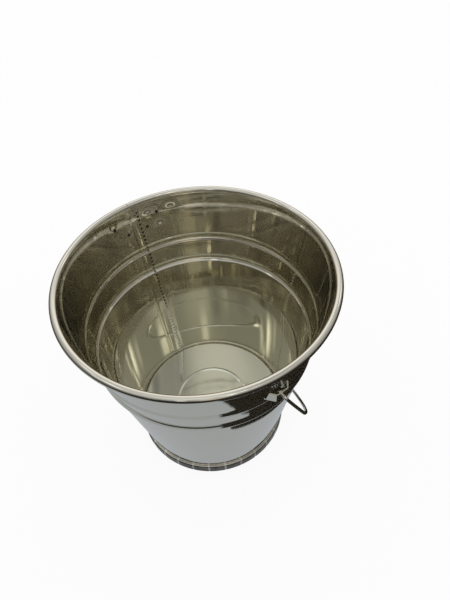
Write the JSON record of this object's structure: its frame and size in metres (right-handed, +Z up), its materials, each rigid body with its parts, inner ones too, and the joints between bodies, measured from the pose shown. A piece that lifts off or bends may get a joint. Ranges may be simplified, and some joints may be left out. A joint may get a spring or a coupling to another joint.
{
  "type": "steel bucket",
  "caption": "Tapered stainless steel bucket with a rolled rim, two pressed beads, a crimped foot ring and a hinged wire bail for carrying water.",
  "frame": {"origin": "middle of the foot, on the surface that the bucket stands on", "axes": "+Z up along the bucket's axis; +X through the plain ear, with the side seam and its ear at -X; +Y to the side where the bail hangs"},
  "size_m": [0.3084, 0.3, 0.274],
  "materials": {
    "wall_steel": "bright rolled sheet, nearly mirror smooth",
    "core_steel": "plain drawn wire, hidden in the rolled rim",
    "pan_steel": "bright sheet with fine circular lines from pressing",
    "foot_steel": "bright rolled sheet, pinched all round",
    "ear_steel": "bright pressed sheet",
    "weld_steel": "smooth small spot welds",
    "bail_steel": "plain drawn wire"
  },
  "bodies": {
    "bucket": {"body_wall": "wall_steel", "rim_wire": "core_steel", "base_pan": "pan_steel", "foot_ring": "foot_steel", "plain_ear": "ear_steel", "seam_ear": "ear_steel", "seam_welds": "weld_steel", "ear_welds": "weld_steel"},
    "bail": {"bail_wire": "bail_steel"}
  },
  "joints": [
    {"name": "bail_hinge", "type": "hinge", "parent": "bucket", "child": "bail", "pos_m": [0, 0, 0.221], "axis": [1, 0, 0], "range_deg": [0, 306]}
  ]
}
